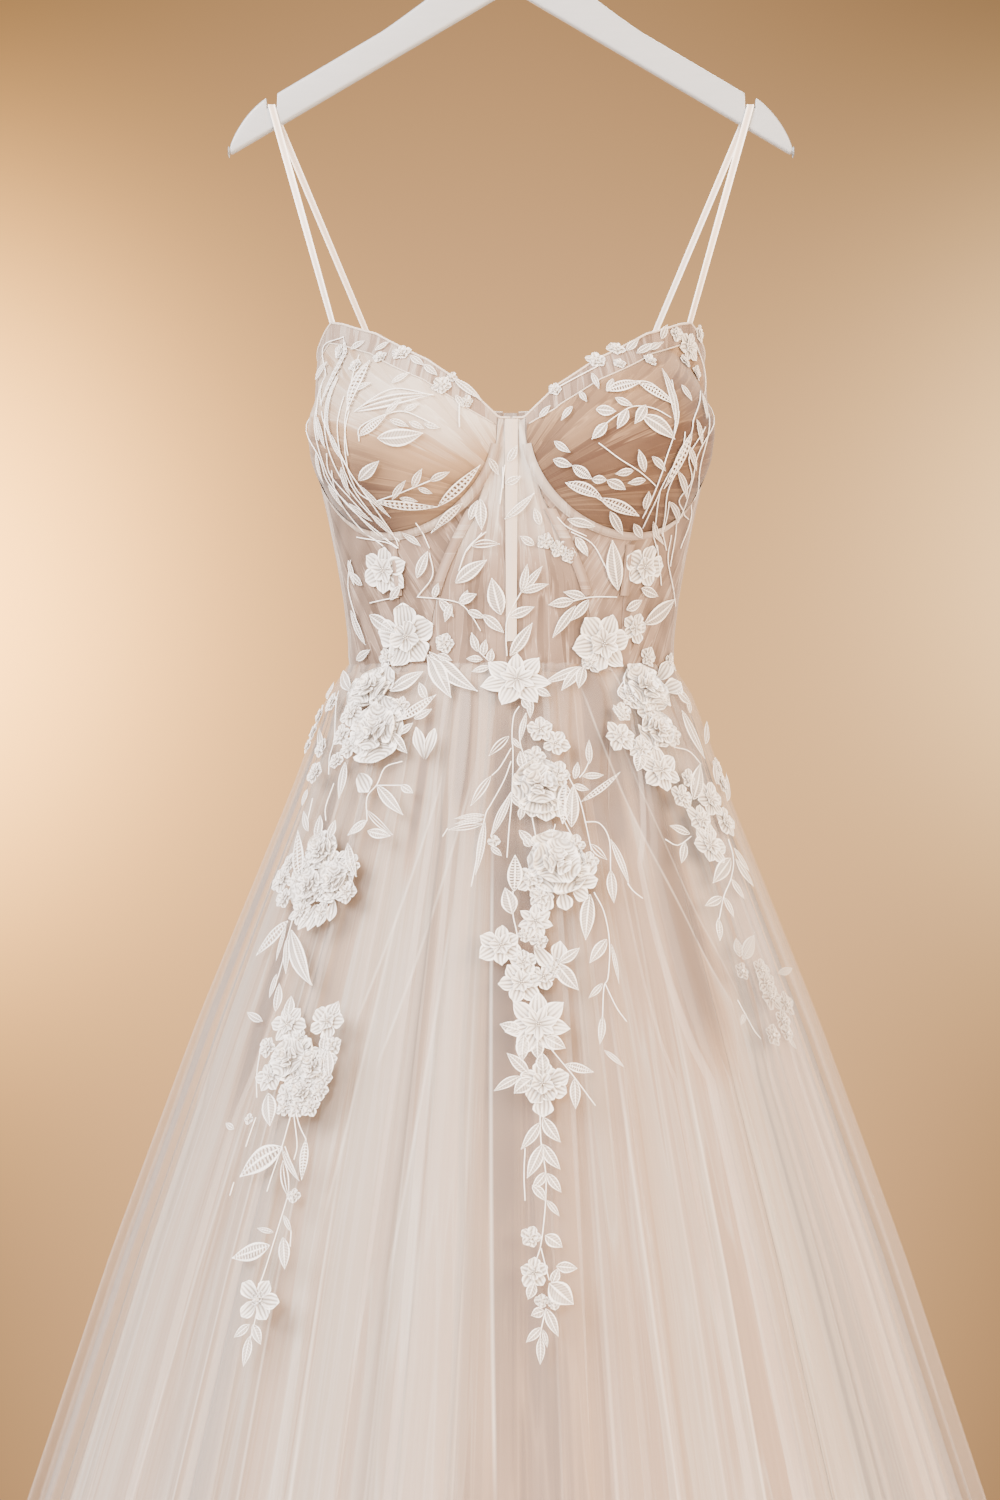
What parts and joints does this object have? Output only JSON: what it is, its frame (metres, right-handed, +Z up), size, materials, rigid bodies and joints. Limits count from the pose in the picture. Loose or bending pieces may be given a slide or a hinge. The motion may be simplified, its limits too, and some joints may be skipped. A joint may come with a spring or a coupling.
{
  "type": "wedding dress on a hanger",
  "caption": "Floor-length corset wedding dress with thin straps, lace applique and a full gathered tulle skirt, hanging from a notched hanger by its hook.",
  "frame": {"origin": "inside top of the hanger's hook, where a rail bears; everything hangs below it", "axes": "+Z up, the front faces -Y, +X is the right of a viewer who looks at the front"},
  "size_m": [1.0687, 0.9378, 1.7043],
  "materials": {
    "tulle": "soft nylon tulle, several sheer layers, matte",
    "nude_lining": "nude satin lining, soft sheen",
    "nude_cup": "nude moulded foam cup under draped tulle, matte",
    "bodice_net": "sheer net over fine mesh, matte",
    "satin_ribbon": "ivory satin ribbon, soft sheen",
    "lace": "ivory corded and embroidered lace applique, matte thread with a slight sheen",
    "painted_wood": "white paint, satin",
    "nickel_wire": "polished nickel wire"
  },
  "bodies": {
    "root": {"back_panel_left": "bodice_net", "back_panel_right": "bodice_net", "back_placket": "bodice_net", "bone_casing_centre": "satin_ribbon", "bone_casing_side_left": "satin_ribbon", "bone_casing_side_right": "satin_ribbon", "bone_casing_slanted_left": "satin_ribbon", "bone_casing_slanted_right": "satin_ribbon", "centre_front_panel": "bodice_net", "cluster_back_left": "lace", "cluster_back_right": "lace", "cluster_hip_left": "lace", "cluster_hip_right": "lace", "cluster_right": "lace", "cluster_right_low": "lace", "cup_left": "nude_cup", "cup_right": "nude_cup", "flower_centre_low": "lace", "flower_centre_lowest": "lace", "flower_left_tip": "lace", "flower_waist_centre": "lace", "flower_waist_left": "lace", "flower_waist_right": "lace", "flowers_centre": "lace", "flowers_left": "lace", "hanger_board": "painted_wood", "hanger_hook": "nickel_wire", "neckline_band_left": "bodice_net", "neckline_band_right": "bodice_net", "rose_centre_lower": "lace", "rose_centre_upper": "lace", "rose_left": "lace", "side_back_panel_left": "bodice_net", "side_back_panel_right": "bodice_net", "side_front_panel_left": "bodice_net", "side_front_panel_right": "bodice_net", "side_panel_left": "bodice_net", "side_panel_right": "bodice_net", "skirt_lining_back": "nude_lining", "skirt_lining_front": "nude_lining", "skirt_lining_left": "nude_lining", "skirt_lining_right": "nude_lining", "skirt_tulle_back": "tulle", "skirt_tulle_front": "tulle", "skirt_tulle_side_back_left": "tulle", "skirt_tulle_side_back_right": "tulle", "skirt_tulle_side_front_left": "tulle", "skirt_tulle_side_front_right": "tulle", "spray_centre_left": "lace", "spray_centre_right": "lace", "spray_centre_tip": "lace", "spray_cup_left": "lace", "spray_cup_right": "lace", "spray_left": "lace", "spray_right": "lace", "strap_left": "satin_ribbon", "strap_right": "satin_ribbon", "underwire_casing_left": "satin_ribbon", "underwire_casing_right": "satin_ribbon"}
  },
  "joints": []
}
